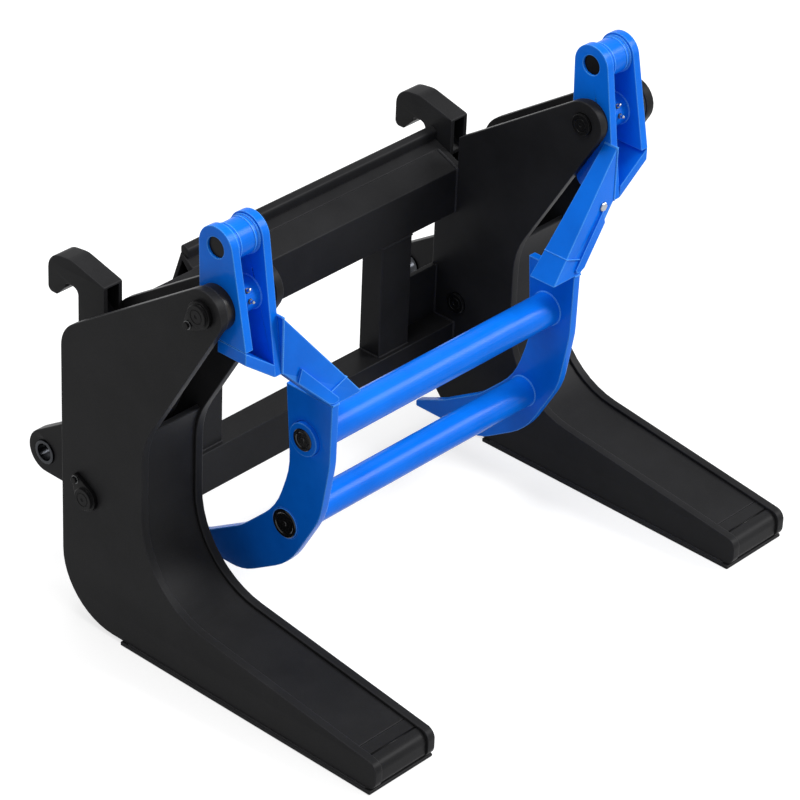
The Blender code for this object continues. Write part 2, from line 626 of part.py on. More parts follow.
def build_clamp(home, cutters, mats):
    """The hinged clamp: two clevises, two box arms, two curved plates, two tubes."""
    blue = mats["clamp"]
    pivot = (PIVOT_FORWARD, PIVOT_HEIGHT)
    head = (PIVOT_FORWARD - HEAD_OFFSET, PIVOT_HEIGHT + HEAD_RISE)
    cheek_inner = cheek_outer + clevis_width
    inner_foot = PIVOT_FORWARD - CHEEK_REAR * HALF
    for side, label in ((-1, "left"), (1, "right")):
        holes = [circle(*pivot, PIN_RADIUS + GAP), circle(*head, HEAD_PIN_RADIUS + GAP)]
        across(label + "_outer_cheek", [cheek_outline(OUTER_CHEEK_LOW, PIVOT_FORWARD)] + holes,
               x_at(side, cheek_outer), x_at(side, cheek_outer + CHEEK_THICK), blue, home, pivot)
        across(label + "_inner_cheek", [cheek_outline(INNER_CHEEK_LOW, inner_foot)] + holes,
               x_at(side, cheek_inner - CHEEK_THICK), x_at(side, cheek_inner), blue, home, pivot)
        inside = (x_at(side, cheek_outer + CHEEK_THICK + GAP), x_at(side, cheek_inner - CHEEK_THICK - GAP))
        sleeve = across(label + "_pivot_sleeve",
                        [circle(*pivot, SLEEVE_RADIUS), circle(*pivot, PIN_RADIUS + GAP)],
                        *inside, blue, home, pivot)
        across(label + "_head_pin", [circle(*head, HEAD_PIN_RADIUS)],
               x_at(side, cheek_outer + HEAD_PIN_SHORT), x_at(side, cheek_inner - HEAD_PIN_SHORT),
               mats["pin"], home, pivot)
        build_box_arm(side, label, home, blue)
        corners = [(ARM_FOOT_HEIGHT * f, (ARM_FOOT_HEIGHT - GAP) * h, ARM_FOOT_HEIGHT * r)
                   for f, h, r in CURVED_SHARES]
        upper = (UPPER_TUBE_FORWARD, UPPER_TUBE_HEIGHT)
        lower = (LOWER_TUBE_FORWARD, LOWER_TUBE_HEIGHT)
        across(label + "_curved_plate",
               [rounded(corners, FILLET_STEPS), circle(*upper, UPPER_TUBE_RADIUS + GAP),
                circle(*lower, LOWER_TUBE_RADIUS + GAP)],
               x_at(side, curved_side), x_at(side, curved_side + CURVED_THICK), blue, home, pivot)
        middle = cheek_outer + clevis_width * HALF
        for angle in NIPPLE_ANGLES:
            a = math.radians(angle)
            start = SLEEVE_RADIUS - NIPPLE_LENGTH * HALF * HALF
            work = bmesh.new()
            bmesh.ops.create_cone(work, cap_ends=True, segments=NIPPLE_STEPS, radius1=NIPPLE_RADIUS,
                                  radius2=NIPPLE_RADIUS * HALF, depth=NIPPLE_LENGTH)
            mesh = bpy.data.meshes.new("nipple")
            work.to_mesh(mesh)
            work.free()
            ob = bpy.data.objects.new("nipple", mesh)
            run = Vector((0.0, -math.cos(a), math.sin(a)))
            spot = Vector((x_at(side, middle), y_back - PIVOT_FORWARD, PIVOT_HEIGHT))
            ob.matrix_world = (Matrix.Translation(spot + run * (start + NIPPLE_LENGTH * HALF))
                               @ run.to_track_quat("Z", "Y").to_matrix().to_4x4())
            cut(sleeve, collect(ob, blue, home), cutters, "UNION")
    build_tube("upper_tube", (UPPER_TUBE_FORWARD, UPPER_TUBE_HEIGHT), UPPER_TUBE_RADIUS,
               UPPER_TUBE_WALL, UPPER_TUBE_PROUD, home, mats)
    build_tube("lower_tube", (LOWER_TUBE_FORWARD, LOWER_TUBE_HEIGHT), LOWER_TUBE_RADIUS,
               LOWER_TUBE_WALL, LOWER_TUBE_PROUD, home, mats)


def four_sided(name, rings, side, mat, home):
    """Solid between two four-cornered ends; corners as (depth, forward, height)."""
    work = bmesh.new()
    loops = [[work.verts.new((x_at(side, d), y_back - f, h)) for d, f, h in ring] for ring in rings]
    for k in range(len(loops[0])):
        work.faces.new((loops[0][k - 1], loops[0][k], loops[1][k], loops[1][k - 1]))
    work.faces.new(loops[0])
    work.faces.new(list(reversed(loops[1])))
    bmesh.ops.triangulate(work, faces=work.faces)
    bmesh.ops.recalc_face_normals(work, faces=work.faces)
    mesh = bpy.data.meshes.new(name)
    work.to_mesh(mesh)
    work.free()
    ob = bpy.data.objects.new(name, mesh)
    return collect(ob, mat, home)


def build_box_arm(side, label, home, mat):
    """Tapered arm from the inner cheek down to the curved plate, and the web under the cheeks."""
    start, foot = cheek_outer + clevis_width + GAP, ARM_FOOT_HEIGHT
    front = PIVOT_FORWARD + CHEEK_FRONT
    rear = front - ARM_TOP_DEPTH
    outer, inner = curved_side, curved_side + ARM_FOOT_WIDTH
    four_sided(label + "_box_arm", (
        ((start, rear, INNER_CHEEK_LOW), (start, front, INNER_CHEEK_LOW),
         (start, front, ARM_TOP_HIGH), (start, rear, ARM_TOP_HIGH)),
        ((outer, ARM_FOOT_REAR, foot), (outer, ARM_FOOT_FRONT, foot),
         (inner, ARM_FOOT_FRONT, foot), (inner, ARM_FOOT_REAR, foot)),
    ), side, mat, home)
    high = OUTER_CHEEK_LOW - GAP
    ends = []
    for depth, top in ((cheek_outer, high), (start - CHEEK_THICK - DOUBLE * GAP, high - CLEVIS_WEB_DROP)):
        ends.append(((depth, PIVOT_FORWARD, top - CLEVIS_WEB_DEPTH), (depth, front, top - CLEVIS_WEB_DEPTH),
                     (depth, front, top), (depth, PIVOT_FORWARD, top)))
    four_sided(label + "_clevis_web", ends, side, mat, home)


def build_tube(name, centre, radius, wall, proud, home, mats):
    """Cross tube through both curved plates, with a cap in each end."""
    end = curved_side - proud
    across(name, [circle(*centre, radius), circle(*centre, radius - wall)], x_at(-1, end), x_at(1, end),
           mats["clamp"], home, (PIVOT_FORWARD, PIVOT_HEIGHT))
    start = end + CAP_THICK * HALF
    for side, label in ((-1, "left"), (1, "right")):
        across(f"{label}_{name}_cap", [circle(*centre, radius - wall - GAP)], x_at(side, start),
               x_at(side, start + CAP_THICK), mats["cap"], home)


def build_cylinder(side, label, home, cutters, mats):
    """Hydraulic cylinder from the hidden base pins to the head pin."""
    head = Vector((PIVOT_FORWARD - HEAD_OFFSET, PIVOT_HEIGHT + HEAD_RISE))
    base = Vector((BASE_PIN_FORWARD, BASE_PIN_HEIGHT))
    span = head - base
    lean = math.atan2(span.x, span.y)
    x = x_at(side, cylinder_side)
    tilt = Matrix.Rotation(lean, 4, "X")
    spot = Vector((x, y_back - base.x, base.y))

    def turned(name, profile, along, mat):
        """Solid of revolution about the cylinder's own axis, profile down its outer side."""
        mesh = bpy.data.meshes.new(name)
        work = bmesh.new()
        verts = [work.verts.new((r, 0.0, z)) for r, z in profile]
        for a, b in zip(verts, verts[1:]):
            work.edges.new((a, b))
        if profile[0][0] > 0:
            work.edges.new((verts[-1], verts[0]))
        work.to_mesh(mesh)
        work.free()
        ob = bpy.data.objects.new(name, mesh)
        ob.matrix_world = Matrix.Translation(spot) @ tilt @ Matrix.Translation((0, 0, along))
        collect(ob, mat, home)
        turn = ob.modifiers.new("Turn", "SCREW")
        turn.steps = turn.render_steps = TURN_STEPS
        turn.use_merge_vertices = True
        turn.merge_threshold = MERGE
        turn.use_smooth_shade = True
        return ob

    gland = BARREL_LENGTH - GLAND_LENGTH
    bore = ROD_RADIUS + ROD_CLEARANCE
    start = EYE_RADIUS * HALF
    turned(label + "_barrel", [
        (0.0, BORE_FLOOR), (bore, BORE_FLOOR), (bore, BARREL_LENGTH), (GLAND_RADIUS, BARREL_LENGTH),
        (GLAND_RADIUS, gland), (BARREL_RADIUS, gland), (BARREL_RADIUS, start), (0.0, start)],
        0.0, mats["barrel"])
    eye = across(label + "_eye_mass", [circle(*base, EYE_RADIUS)], x - EYE_WIDTH * HALF, x + EYE_WIDTH * HALF,
                 mats["barrel"], home)
    hole = across(label + "_eye_hole", [circle(*base, EYE_BORE)], x - EYE_WIDTH, x + EYE_WIDTH,
                  mats["barrel"], home)
    barrel = home.objects[label + "_barrel"]
    cut(barrel, eye, cutters, "UNION")
    cut(barrel, hole, cutters)
    rod_start = span.length - ROD_LENGTH
    turned(label + "_rod", [
        (0.0, span.length - ROD_EYE_RADIUS - GAP), (ROD_RADIUS, span.length - ROD_EYE_RADIUS - GAP),
        (ROD_RADIUS, rod_start), (0.0, rod_start)], 0.0, mats["rod"])
    inside = clevis_width - DOUBLE * CHEEK_THICK - DOUBLE * GAP
    body = across(label + "_rod_eye", [circle(*head, ROD_EYE_RADIUS), circle(*head, HEAD_PIN_RADIUS + GAP)],
                  x - inside * HALF, x + inside * HALF, mats["clamp"], home, tuple(head))
    for sign in (-1, 1):
        flange = across(label + "_flange",
                        [circle(*head, FLANGE_RADIUS), circle(*head, HEAD_PIN_RADIUS + GAP)],
                        x + sign * (inside * HALF - FLANGE_THICK), x + sign * inside * HALF,
                        mats["clamp"], home)
        cut(body, flange, cutters, "UNION")


def main():
    remove_everything()
    home = bpy.data.collections.new("log_grapple")
    cutters = bpy.data.collections.new("cutters")
    for group in (home, cutters):
        bpy.context.scene.collection.children.link(group)
    mats = {
        "frame": make_material("frame_black", (0.022, 0.023, 0.025), 0.42, 0.0),
        "boss": make_material("boss_black", (0.030, 0.030, 0.032), 0.35, 0.0),
        "pin": make_material("pin_black", (0.008, 0.008, 0.009), 0.30, 0.0),
        "bush": make_material("bush_steel", (0.42, 0.42, 0.44), 0.30, 1.0),
        "clamp": make_material("clamp_blue", (0.006, 0.137, 0.687), 0.28, 0.0),
        "cap": make_material("cap_black", (0.010, 0.010, 0.010), 0.55, 0.0),
        "barrel": make_material("barrel_black", (0.018, 0.018, 0.020), 0.35, 0.0),
        "rod": make_material("rod_chrome", (0.75, 0.76, 0.78), 0.12, 1.0),
    }
    for side, label in ((-1, "left"), (1, "right")):
        build_arm(side, label, home, cutters, mats)
        build_cylinder(side, label, home, cutters, mats)
    build_cross_members(home, cutters, mats)
    build_clamp(home, cutters, mats)
    for ob in home.objects:
        if ob.type == "MESH":
            ob.data.shade_smooth()
            ob.data.set_sharp_from_angle(angle=math.radians(SHARP_ANGLE))


main()
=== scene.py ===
import json
import math
import random

import bmesh
import bpy
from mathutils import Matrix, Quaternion, Vector


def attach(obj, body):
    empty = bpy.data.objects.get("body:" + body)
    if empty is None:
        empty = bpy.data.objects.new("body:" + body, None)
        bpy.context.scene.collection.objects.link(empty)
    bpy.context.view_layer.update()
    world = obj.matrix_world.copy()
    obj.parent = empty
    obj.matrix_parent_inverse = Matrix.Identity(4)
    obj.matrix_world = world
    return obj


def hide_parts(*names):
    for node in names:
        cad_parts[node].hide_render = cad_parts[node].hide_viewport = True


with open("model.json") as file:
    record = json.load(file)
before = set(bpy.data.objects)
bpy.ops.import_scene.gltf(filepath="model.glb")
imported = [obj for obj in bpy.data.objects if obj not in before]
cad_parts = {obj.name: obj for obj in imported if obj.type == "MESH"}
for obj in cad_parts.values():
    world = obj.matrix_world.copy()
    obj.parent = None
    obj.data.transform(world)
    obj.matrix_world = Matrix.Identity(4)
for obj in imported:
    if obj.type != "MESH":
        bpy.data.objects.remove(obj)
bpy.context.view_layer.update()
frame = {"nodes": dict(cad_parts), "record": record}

nodes = frame["nodes"]
sides = ((-1, "left"), (1, "right"))
print("frame loaded:", len(nodes), "nodes")


def linear(hexColour):
    parts = [int(hexColour[i:i + 2], 16) / 255 for i in (1, 3, 5)]
    return tuple(c / 12.92 if c <= 0.04045 else ((c + 0.055) / 1.055) ** 2.4 for c in parts) + (1.0,)


fullWhite = (1.0, 1.0, 1.0, 1.0)
noColour = (0.0, 0.0, 0.0, 1.0)


def addNode(tree, kind, values=None, links=None, stops=(), **settings):
    node = tree.nodes.new(kind)
    for key, value in settings.items():
        setattr(node, key, value)
    for key, value in (values or {}).items():
        node.inputs[key].default_value = value
    for key, source in (links or {}).items():
        tree.links.new(source, node.inputs[key])
    for i, (place, colour) in enumerate(stops):     # the two ends of a colour ramp
        node.color_ramp.elements[i].position = place
        node.color_ramp.elements[i].color = colour
    return node


def newMaterial(name):
    mat = bpy.data.materials.new(name)
    mat.use_nodes = True
    mat.node_tree.nodes.clear()
    return mat, mat.node_tree


def placeObject(name, data, turn, place=(0, 0, 0)):
    ob = bpy.data.objects.new(name, data)
    bpy.context.scene.collection.objects.link(ob)
    ob.rotation_mode = "QUATERNION"
    ob.rotation_quaternion = turn
    ob.location = place
    return ob


camera = {
    "place": (-5.28737, -4.66774, 4.82716),
    "azimuth": 48.465,     # degrees from +Y towards +X, the way it looks
    "elevation": 32.112,   # degrees below the horizon
    "roll": 2.473,
    "lens": 176.85, "sensor": 36,     # millimetres
    "near": 0.1, "far": 100,
}


def placeCamera():
    data = bpy.data.cameras.new("camera")
    data.sensor_width = camera["sensor"]
    data.lens = camera["lens"]
    data.clip_start, data.clip_end = camera["near"], camera["far"]
    az, el = math.radians(camera["azimuth"]), math.radians(camera["elevation"])
    look = Vector((math.sin(az) * math.cos(el), math.cos(az) * math.cos(el), -math.sin(el)))
    turn = look.to_track_quat("-Z", "Y") @ Quaternion((0, 0, 1), math.radians(camera["roll"]))
    bpy.context.scene.camera = placeObject("camera", data, turn, camera["place"])


studio = {
    "floorColour": "#bcbcbc", "floorSize": 60.0, "floorDrop": 0.0005,
    "floorLift": 0.70,     # seen by camera, glossy and transmission rays only, lifts the floor to white
    "skyLight": 0.44,      # even light from all round
    "backdrop": 1.0,       # what those rays see past the floor
    "keyStrength": 2.1, "keyFrom": (0.58, -0.52, 0.62), "keySpread": 24,
    "sidePower": 30, "sidePlace": (3.4, -3.4, 2.2), "sideSize": (1.4, 2.4),
    "topPower": 76, "topPlace": (-0.6, 0.6, 4.4), "topSize": (3.0, 1.2),
    "aim": (0, -0.05, 0.45),
}


def softbox(name):
    data = bpy.data.lights.new(name + "Softbox", "AREA")
    data.shape = "RECTANGLE"
    data.size, data.size_y = studio[name + "Size"]
    data.energy = studio[name + "Power"]
    place = Vector(studio[name + "Place"])
    turn = (Vector(studio["aim"]) - place).to_track_quat("-Z", "Y")
    placeObject(name + "Softbox", data, turn, place)


def seenRays(tree):
    ray = addNode(tree, "ShaderNodeLightPath")
    direct = addNode(tree, "ShaderNodeMath", operation="MAXIMUM",
                     links={0: ray.outputs["Is Camera Ray"], 1: ray.outputs["Is Glossy Ray"]})
    return addNode(tree, "ShaderNodeMath", operation="MAXIMUM",
                   links={0: direct.outputs[0], 1: ray.outputs["Is Transmission Ray"]})


def buildFloor():
    half = studio["floorSize"] / 2
    mesh = bpy.data.meshes.new("floor")
    corners = [(-half, -half, 0), (half, -half, 0), (half, half, 0), (-half, half, 0)]
    mesh.from_pydata(corners, [], [(0, 1, 2, 3)])
    floor = bpy.data.objects.new("floor", mesh)
    floor.location.z = -studio["floorDrop"]
    bpy.context.scene.collection.objects.link(floor)
    mat, tree = newMaterial("paintedStudioFloor")   # flat emulsion, keeps only soft shadows
    base = addNode(tree, "ShaderNodeBsdfDiffuse", {"Color": linear(studio["floorColour"])})
    lift = addNode(tree, "ShaderNodeEmission", {"Color": fullWhite, "Strength": studio["floorLift"]})
    both = addNode(tree, "ShaderNodeAddShader", links={0: base.outputs[0], 1: lift.outputs[0]})
    mix = addNode(tree, "ShaderNodeMixShader", links={
        "Fac": seenRays(tree).outputs[0], 1: base.outputs[0], 2: both.outputs[0]})
    addNode(tree, "ShaderNodeOutputMaterial", links={"Surface": mix.outputs[0]})
    mesh.materials.append(mat)


def buildLights():
    world = bpy.data.worlds.new("studio")
    bpy.context.scene.world = world
    world.use_nodes = True
    tree = world.node_tree
    tree.nodes.clear()
    light = addNode(tree, "ShaderNodeBackground", {"Color": fullWhite, "Strength": studio["skyLight"]})
    white = addNode(tree, "ShaderNodeBackground", {"Color": fullWhite, "Strength": studio["backdrop"]})
    mix = addNode(tree, "ShaderNodeMixShader", links={
        "Fac": seenRays(tree).outputs[0], 1: light.outputs[0], 2: white.outputs[0]})
    addNode(tree, "ShaderNodeOutputWorld", links={"Surface": mix.outputs[0]})
    sun = bpy.data.lights.new("key", "SUN")
    sun.energy = studio["keyStrength"]
    sun.angle = math.radians(studio["keySpread"])
    placeObject("key", sun, Vector(studio["keyFrom"]).to_track_quat("Z", "Y"))
    softbox("side")
    softbox("top")
    bpy.context.scene.view_settings.view_transform = "Standard"


# Shared by the paints: noise detail, the noise values between which each pattern runs, and the samples and
# cut of the painted edge highlight.
paintPattern = {
    "patchDetail": 4.0, "patchRoughness": 0.6, "patchFrom": 0.34, "patchTo": 0.68,
    "fleckDetail": 1.0, "fleckFrom": 0.42, "fleckTo": 0.78, "glossFrom": 0.3, "glossTo": 0.7,
    "peelDetail": 2.0, "highlightSamples": 6, "highlightFrom": 0.94, "highlightTo": 0.998,
}


def paintedSteel(name, spec):
    mat, tree = newMaterial(name)
    cut = paintPattern
    adding = {"data_type": "RGBA", "blend_type": "ADD"}     # colour inputs are 6 and 7, the output is 2
    place = addNode(tree, "ShaderNodeTexCoord").outputs["Object"]
    patches = addNode(tree, "ShaderNodeTexNoise", {
        "Scale": 1 / spec["patch"], "Detail": cut["patchDetail"], "Roughness": cut["patchRoughness"]},
        {"Vector": place})
    colour = addNode(tree, "ShaderNodeValToRGB", links={"Fac": patches.outputs["Fac"]}, stops=[
        (cut["patchFrom"], linear(spec["low"])), (cut["patchTo"], linear(spec["high"]))])
    speck = addNode(tree, "ShaderNodeTexNoise", {
        "Scale": 1 / spec["grain"], "Detail": cut["fleckDetail"]}, {"Vector": place})
    fleck = addNode(tree, "ShaderNodeValToRGB", links={"Fac": speck.outputs["Fac"]}, stops=[
        (cut["fleckFrom"], noColour), (cut["fleckTo"], linear(spec["fleck"]))])
    flecked = addNode(tree, "ShaderNodeMix", {0: 1.0}, {
        6: colour.outputs["Color"], 7: fleck.outputs["Color"]}, **adding)
    gloss = addNode(tree, "ShaderNodeMapRange", {
        "From Min": cut["glossFrom"], "From Max": cut["glossTo"],
        "To Min": spec["gloss"][0], "To Max": spec["gloss"][1]}, {"Value": patches.outputs["Fac"]})
    # painted highlight: a paler colour is added to the paint along a rounded edge, found by how far the
    # normal turns there
    rounded = addNode(tree, "ShaderNodeBevel", {"Radius": spec["highlightWidth"]}, samples=cut["highlightSamples"])
    flat = addNode(tree, "ShaderNodeNewGeometry")
    turn = addNode(tree, "ShaderNodeVectorMath", operation="DOT_PRODUCT",
                   links={0: rounded.outputs[0], 1: flat.outputs["True Normal"]})
    rim = addNode(tree, "ShaderNodeValToRGB", links={"Fac": turn.outputs["Value"]}, stops=[
        (cut["highlightFrom"], linear(spec["rim"])), (cut["highlightTo"], noColour)])
    paint = addNode(tree, "ShaderNodeMix", {0: 1.0}, {
        6: flecked.outputs[2], 7: rim.outputs["Color"]}, **adding)
    peel = addNode(tree, "ShaderNodeTexNoise", {
        "Scale": 1 / spec["peel"], "Detail": cut["peelDetail"]}, {"Vector": place})
    bump = addNode(tree, "ShaderNodeBump", {
        "Strength": spec["peelStrength"], "Distance": spec["peelDepth"]}, {"Height": peel.outputs["Fac"]})
    shader = addNode(tree, "ShaderNodeBsdfPrincipled", {
        "Metallic": 0.0, "IOR": spec["ior"], "Specular IOR Level": spec["specular"]},
        {"Base Color": paint.outputs[2], "Roughness": gloss.outputs[0], "Normal": bump.outputs[0]})
    addNode(tree, "ShaderNodeOutputMaterial", links={"Surface": shader.outputs["BSDF"]})
    return mat


# The paints' sizes are in metres: patch is the cloudiness, grain the flecks, peel the orange peel.
# The real flecks are finer; they are drawn at about 1 to 2 mm, so that they show.

# In each paint, rim and its width are the colour and reach of a painted highlight along rounded edges.
# Satin black polyester powder coat, sprayed and baked: deep and even, with a fine orange peel.
blackPowderCoat = {
    "low": "#1d1d1e", "high": "#252526", "fleck": "#101011", "rim": "#28282a", "highlightWidth": 0.0030,
    "patch": 0.17, "grain": 0.0016, "peel": 0.0026, "peelDepth": 0.00005, "peelStrength": 0.45,
    "gloss": (0.36, 0.46), "specular": 0.05, "ior": 1.5,
}
# Blue two-pack enamel, sprayed: smooth and strong in colour, with a painted highlight along rounded edges.
blueEnamel = {
    "low": "#046be0", "high": "#0876f0", "fleck": "#00040a", "rim": "#598973", "highlightWidth": 0.0030,
    "patch": 0.14, "grain": 0.0020, "peel": 0.0034, "peelDepth": 0.00005, "peelStrength": 0.35,
    "gloss": (0.20, 0.27), "specular": 0.08, "ior": 1.5,
}
# Black enamel brushed over turned rings: a touch browner and shinier than the powder coat.
ringEnamel = {
    "low": "#141413", "high": "#1f1c19", "fleck": "#14110d", "rim": "#2a241d", "highlightWidth": 0.0016,
    "patch": 0.03, "grain": 0.0012, "peel": 0.0020, "peelDepth": 0.00006, "peelStrength": 0.5,
    "gloss": (0.28, 0.38), "specular": 0.22, "ior": 1.5,
}
# Polyethylene plug, injection moulded: smooth, shiny black.
mouldedPlug = {
    "low": "#0c0c0d", "high": "#111112", "fleck": "#060606", "rim": "#161616", "highlightWidth": 0.0008,
    "patch": 0.02, "grain": 0.0008, "peel": 0.0011, "peelDepth": 0.00004, "peelStrength": 0.4,
    "gloss": (0.16, 0.24), "specular": 0.5, "ior": 1.5,
}

# Shared by the bare metals: noise detail, the noise values between which it runs, and bump strength.
metalPattern = {"detail": 3.0, "from": 0.3, "to": 0.7, "bump": 0.3}


def metalSteel(name, spec):
    mat, tree = newMaterial(name)
    cut = metalPattern
    place = addNode(tree, "ShaderNodeTexCoord").outputs["Object"]
    stretch = addNode(tree, "ShaderNodeMapping", {"Scale": spec["stretch"]}, {"Vector": place})
    lines = addNode(tree, "ShaderNodeTexNoise", {
        "Scale": 1 / spec["line"], "Detail": cut["detail"]}, {"Vector": stretch.outputs[0]})
    colour = addNode(tree, "ShaderNodeValToRGB", links={"Fac": lines.outputs["Fac"]}, stops=[
        (cut["from"], linear(spec["low"])), (cut["to"], linear(spec["high"]))])
    gloss = addNode(tree, "ShaderNodeMapRange", {
        "From Min": cut["from"], "From Max": cut["to"],
        "To Min": spec["gloss"][0], "To Max": spec["gloss"][1]}, {"Value": lines.outputs["Fac"]})
    bump = addNode(tree, "ShaderNodeBump", {
        "Strength": cut["bump"], "Distance": spec["depth"]}, {"Height": lines.outputs["Fac"]})
    shader = addNode(tree, "ShaderNodeBsdfPrincipled", {
        "Metallic": spec["metallic"], "Specular IOR Level": spec["specular"]},
        {"Base Color": colour.outputs["Color"], "Roughness": gloss.outputs[0], "Normal": bump.outputs[0]})
    addNode(tree, "ShaderNodeOutputMaterial", links={"Surface": shader.outputs["BSDF"]})
    return mat


# The metals' line is the spacing of tool marks in metres, drawn at 1 to 3 mm so that they show.

# Black-oxide steel, turned and dipped: near black, because the oxide hides the bare metal's shine.
blackOxide = {
    "low": "#0a0a0b", "high": "#131314", "line": 0.0012, "stretch": (3, 1, 1), "gloss": (0.26, 0.36),
    "depth": 0.00003, "metallic": 0.0, "specular": 0.08,
}
# Bright zinc plate on nipples and the arm's bolt: silvery, slightly cloudy.
zincPlate = {
    "low": "#8b9095", "high": "#b9bdc2", "line": 0.0020, "stretch": (1, 1, 1), "gloss": (0.16, 0.28),
    "depth": 0.00003, "metallic": 1.0, "specular": 0.5,
}
# Zinc plate gone dull on keeper bolts, nipple hexagons and port plugs: grey, hardly shining.
dullZinc = {
    "low": "#4a4b4c", "high": "#6a6b6c", "line": 0.0015, "stretch": (1, 1, 1), "gloss": (0.42, 0.55),
    "depth": 0.00004, "metallic": 0.85, "specular": 0.5,
}
# Turned steel of a bush, coloured dark, with fine lathe rings across the bore.
turnedSteel = {
    "low": "#2a2b2e", "high": "#3c3e42", "line": 0.0010, "stretch": (6, 1, 1), "gloss": (0.24, 0.34),
    "depth": 0.00005, "metallic": 1.0, "specular": 0.5,
}
# Hard chrome on a ground rod: bright, with slightly blurred reflections.
hardChrome = {
    "low": "#b4b8bd", "high": "#cdd1d6", "line": 0.0030, "stretch": (1, 1, 1), "gloss": (0.16, 0.22),
    "depth": 0.00001, "metallic": 1.0, "specular": 0.5,
}

placeCamera()
buildFloor()
buildLights()
print("camera and studio placed")
finishes = {
    "blackPowderCoat": paintedSteel("satinBlackPowderCoatedSteel", blackPowderCoat),
    "blueEnamel": paintedSteel("glossBlueEnamelOnSteel", blueEnamel),
    "ringEnamel": paintedSteel("blackEnamelOnTurnedSteel", ringEnamel),
    "mouldedPlug": paintedSteel("mouldedBlackPolyethylene", mouldedPlug),
    "blackOxide": metalSteel("blackOxideTurnedSteel", blackOxide),
    "zincPlate": metalSteel("brightZincPlatedSteel", zincPlate),
    "dullZinc": metalSteel("dullZincPlatedSteel", dullZinc),
    "turnedSteel": metalSteel("darkTurnedSteel", turnedSteel),
    "hardChrome": metalSteel("polishedHardChrome", hardChrome),
}
slotFinish = {
    "frame_black": "blackPowderCoat", "boss_black": "ringEnamel", "pin_black": "blackOxide",
    "bush_steel": "turnedSteel", "clamp_blue": "blueEnamel", "cap_black": "mouldedPlug",
    "barrel_black": "blackPowderCoat", "rod_chrome": "hardChrome",
}
finishSlot = {finish: slot for slot, finish in reversed(slotFinish.items())}
finishSlot["zincPlate"] = finishSlot["dullZinc"] = "bush_steel"     # the record's slot for bare steel
print("materials made:", len(finishes))


def smoothGroup():
    # shades every face smooth and clears marked edges, so that only the rounding shows an edge
    group = bpy.data.node_groups.new("smoothShade", "GeometryNodeTree")
    group.interface.new_socket("Geometry", in_out="INPUT", socket_type="NodeSocketGeometry")
    group.interface.new_socket("Geometry", in_out="OUTPUT", socket_type="NodeSocketGeometry")
    start = addNode(group, "NodeGroupInput")
    faces = addNode(group, "GeometryNodeSetShadeSmooth", links={"Geometry": start.outputs[0]}, domain="FACE")
    edges = addNode(group, "GeometryNodeSetShadeSmooth", links={"Geometry": faces.outputs[0]}, domain="EDGE")
    addNode(group, "NodeGroupOutput", links={0: edges.outputs[0]})
    return group


# Width of the dressed edge, by the ending of a node's name.
edgeRound = {
    "plate": 0.0018, "hook": 0.0016, "ear": 0.0016, "cheek": 0.0011, "box_arm": 0.0020, "clevis_web": 0.0015,
    "beam": 0.0022, "post": 0.0022, "rail": 0.0015, "tine_nose": 0.0015, "boss": 0.0014, "pin": 0.0008,
    "tube": 0.0012, "rod_eye": 0.0008, "bush": 0.0007, "rear_web": 0.0012, "cap": 0.0008,
}
# Corners closer than join are made one, and edges that turn more than angle degrees are rounded.
rounding = {"join": 0.00001, "segments": 2, "angle": 34, "weight": 100}


def softenEdges(ob, width, group):
    join = ob.modifiers.new("weld", "WELD")
    join.merge_threshold = rounding["join"]
    smooth = ob.modifiers.new("smooth", "NODES")
    smooth.node_group = group
    soften = ob.modifiers.new("soften", "BEVEL")
    soften.width = width
    soften.segments = rounding["segments"]
    soften.limit_method = "ANGLE"
    soften.angle_limit = math.radians(rounding["angle"])
    soften.use_clamp_overlap = False
    soften.loop_slide = False     # sliding leaves thin dark lines beside the pin holes
    even = ob.modifiers.new("even", "WEIGHTED_NORMAL")
    even.mode = "FACE_AREA_WITH_ANGLE"
    even.weight = rounding["weight"]


def dressNodes():
    group = smoothGroup()
    for sub in frame["record"]["subparts"]:
        ob = nodes[sub["node"]]
        for place in ob.material_slots:
            place.material = finishes[slotFinish[sub["material_slot"]]]
        for ending, width in edgeRound.items():
            if sub["node"].endswith(ending):
                softenEdges(ob, width, group)
                break


# Places are a depth inwards from an arm's outer face, forward from the frame's back, and a height.
arm = {
    "halfWidth": 0.655, "yBack": 0.362, "width": 0.175, "plate": 0.020,
    "pivot": (0.404, 0.903), "boss": 0.049, "basePin": (0.078, 0.322), "earPlate": (0.074, 0.104),
}
clamp = {
    "cheekOuter": 0.044, "cheekInner": 0.148, "cheek": 0.020, "head": (0.395, 1.030), "sleeve": 0.036,
    "curved": (0.272, 0.292), "foot": 0.617, "footFront": 0.505, "footRear": 0.436, "footInner": 0.359,
    "armFront": 0.482, "armRear": 0.446, "armLow": 0.738, "armHigh": 0.866,
    # forward, height, radius, wall, and how far its end stands out of the curved plate
    "upperTube": (0.435, 0.510, 0.038, 0.0155, 0.010), "lowerTube": (0.383, 0.277, 0.035, 0.005, 0.002),
}
pins = (("Pivot", arm["pivot"]), ("Base", arm["basePin"]))
tubes = ("upperTube", "lowerTube")
cylinderDepth = (clamp["cheekOuter"] + clamp["cheekInner"]) / 2


def at(side, depth, forward, height):
    return Vector((side * (arm["halfWidth"] - depth), arm["yBack"] - forward, height))


def meshOf(work, name):
    mesh = bpy.data.meshes.new(name)
    work.to_mesh(mesh)
    work.free()
    return mesh


def addPiece(name, mesh, finish, body):
    mesh.materials.append(finishes[finish])
    mesh.shade_smooth()
    ob = bpy.data.objects.new(name, mesh)
    bpy.context.scene.collection.objects.link(ob)
    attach(ob, body)
    return ob


def onCircle(radius, k, steps, along=0.0):
    turn = math.tau * k / steps
    return Vector((radius * math.cos(turn), radius * math.sin(turn), along))


